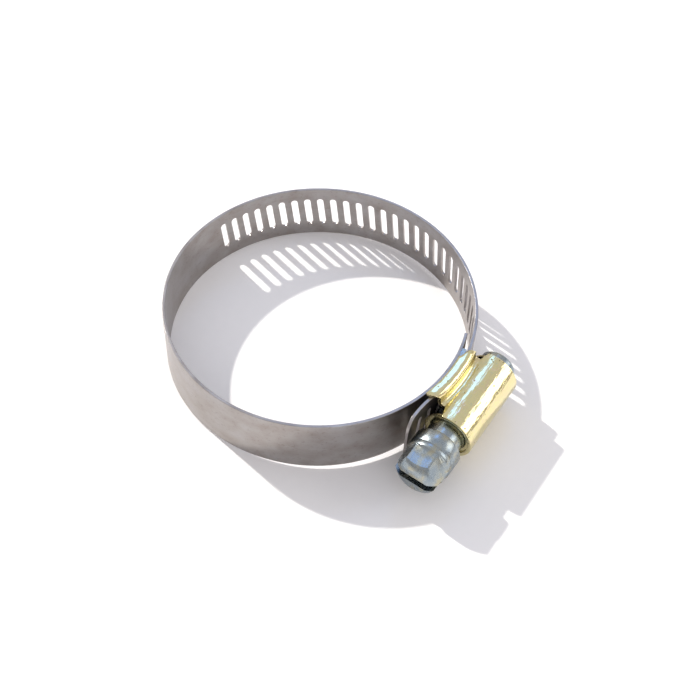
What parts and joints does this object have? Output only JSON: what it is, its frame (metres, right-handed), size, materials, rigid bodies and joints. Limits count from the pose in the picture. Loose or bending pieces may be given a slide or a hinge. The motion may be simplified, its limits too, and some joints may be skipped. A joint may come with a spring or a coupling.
{
  "type": "worm-drive hose clamp",
  "caption": "Perforated-band hose clamp: a slotted steel strip bent into a ring, closed by a worm screw in a pressed housing.",
  "frame": {"origin": "on the axis of the hose bore, half way across the band's width", "axes": "+Z along the bore axis; the housing is on the -Y side; the screw lies along X with its head towards -X"},
  "size_m": [0.0599, 0.0691, 0.0144],
  "materials": {
    "band": "satin rolled stainless strip",
    "housing": "bright zinc with a pale yellow passivation",
    "saddle": "bright zinc",
    "screw": "blue-grey zinc"
  },
  "bodies": {
    "housing": {"housing": "housing", "saddle": "saddle", "band_fixed_end": "band"},
    "screw": {"screw": "screw"},
    "band_span_1": {"band_span_1": "band"},
    "band_span_2": {"band_span_2": "band"},
    "band_span_3": {"band_span_3": "band"},
    "band_span_4": {"band_span_4": "band"},
    "band_free_end": {"band_free_end": "band"}
  },
  "joints": [
    {"name": "screw_turn", "type": "hinge", "parent": "housing", "child": "screw", "pos_m": [0, -0.03455, 0], "axis": [1, 0, 0], "range_deg": [0, 1440]},
    {"name": "band_bend_1", "type": "hinge", "parent": "housing", "child": "band_span_1", "pos_m": [-0.02495, -0.01439, 0], "axis": [0, 0, -1], "range_deg": [-0.05, 5.54]},
    {"name": "band_bend_2", "type": "hinge", "parent": "band_span_1", "child": "band_span_2", "pos_m": [-0.02393, 0.01603, 0], "axis": [0, 0, -1], "range_deg": [-0.05, 3.06]},
    {"name": "band_bend_3", "type": "hinge", "parent": "band_span_2", "child": "band_span_3", "pos_m": [0.00381, 0.02855, 0], "axis": [0, 0, -1], "range_deg": [-0.05, 3.93]},
    {"name": "band_bend_4", "type": "hinge", "parent": "band_span_3", "child": "band_span_4", "pos_m": [0.02792, 0.0097, 0], "axis": [0, 0, -1], "range_deg": [-0.05, 3.72]},
    {"name": "band_bend_5", "type": "hinge", "parent": "band_span_4", "child": "band_free_end", "pos_m": [0.02253, -0.02026, 0], "axis": [0, 0, -1], "range_deg": [-0.05, 4.15]}
  ],
  "couplings": [
    {"joint": "band_bend_1", "follows": "screw_turn", "ratio": 0.003813},
    {"joint": "band_bend_2", "follows": "screw_turn", "ratio": 0.002094},
    {"joint": "band_bend_3", "follows": "screw_turn", "ratio": 0.002693},
    {"joint": "band_bend_4", "follows": "screw_turn", "ratio": 0.00255},
    {"joint": "band_bend_5", "follows": "screw_turn", "ratio": 0.00285}
  ]
}
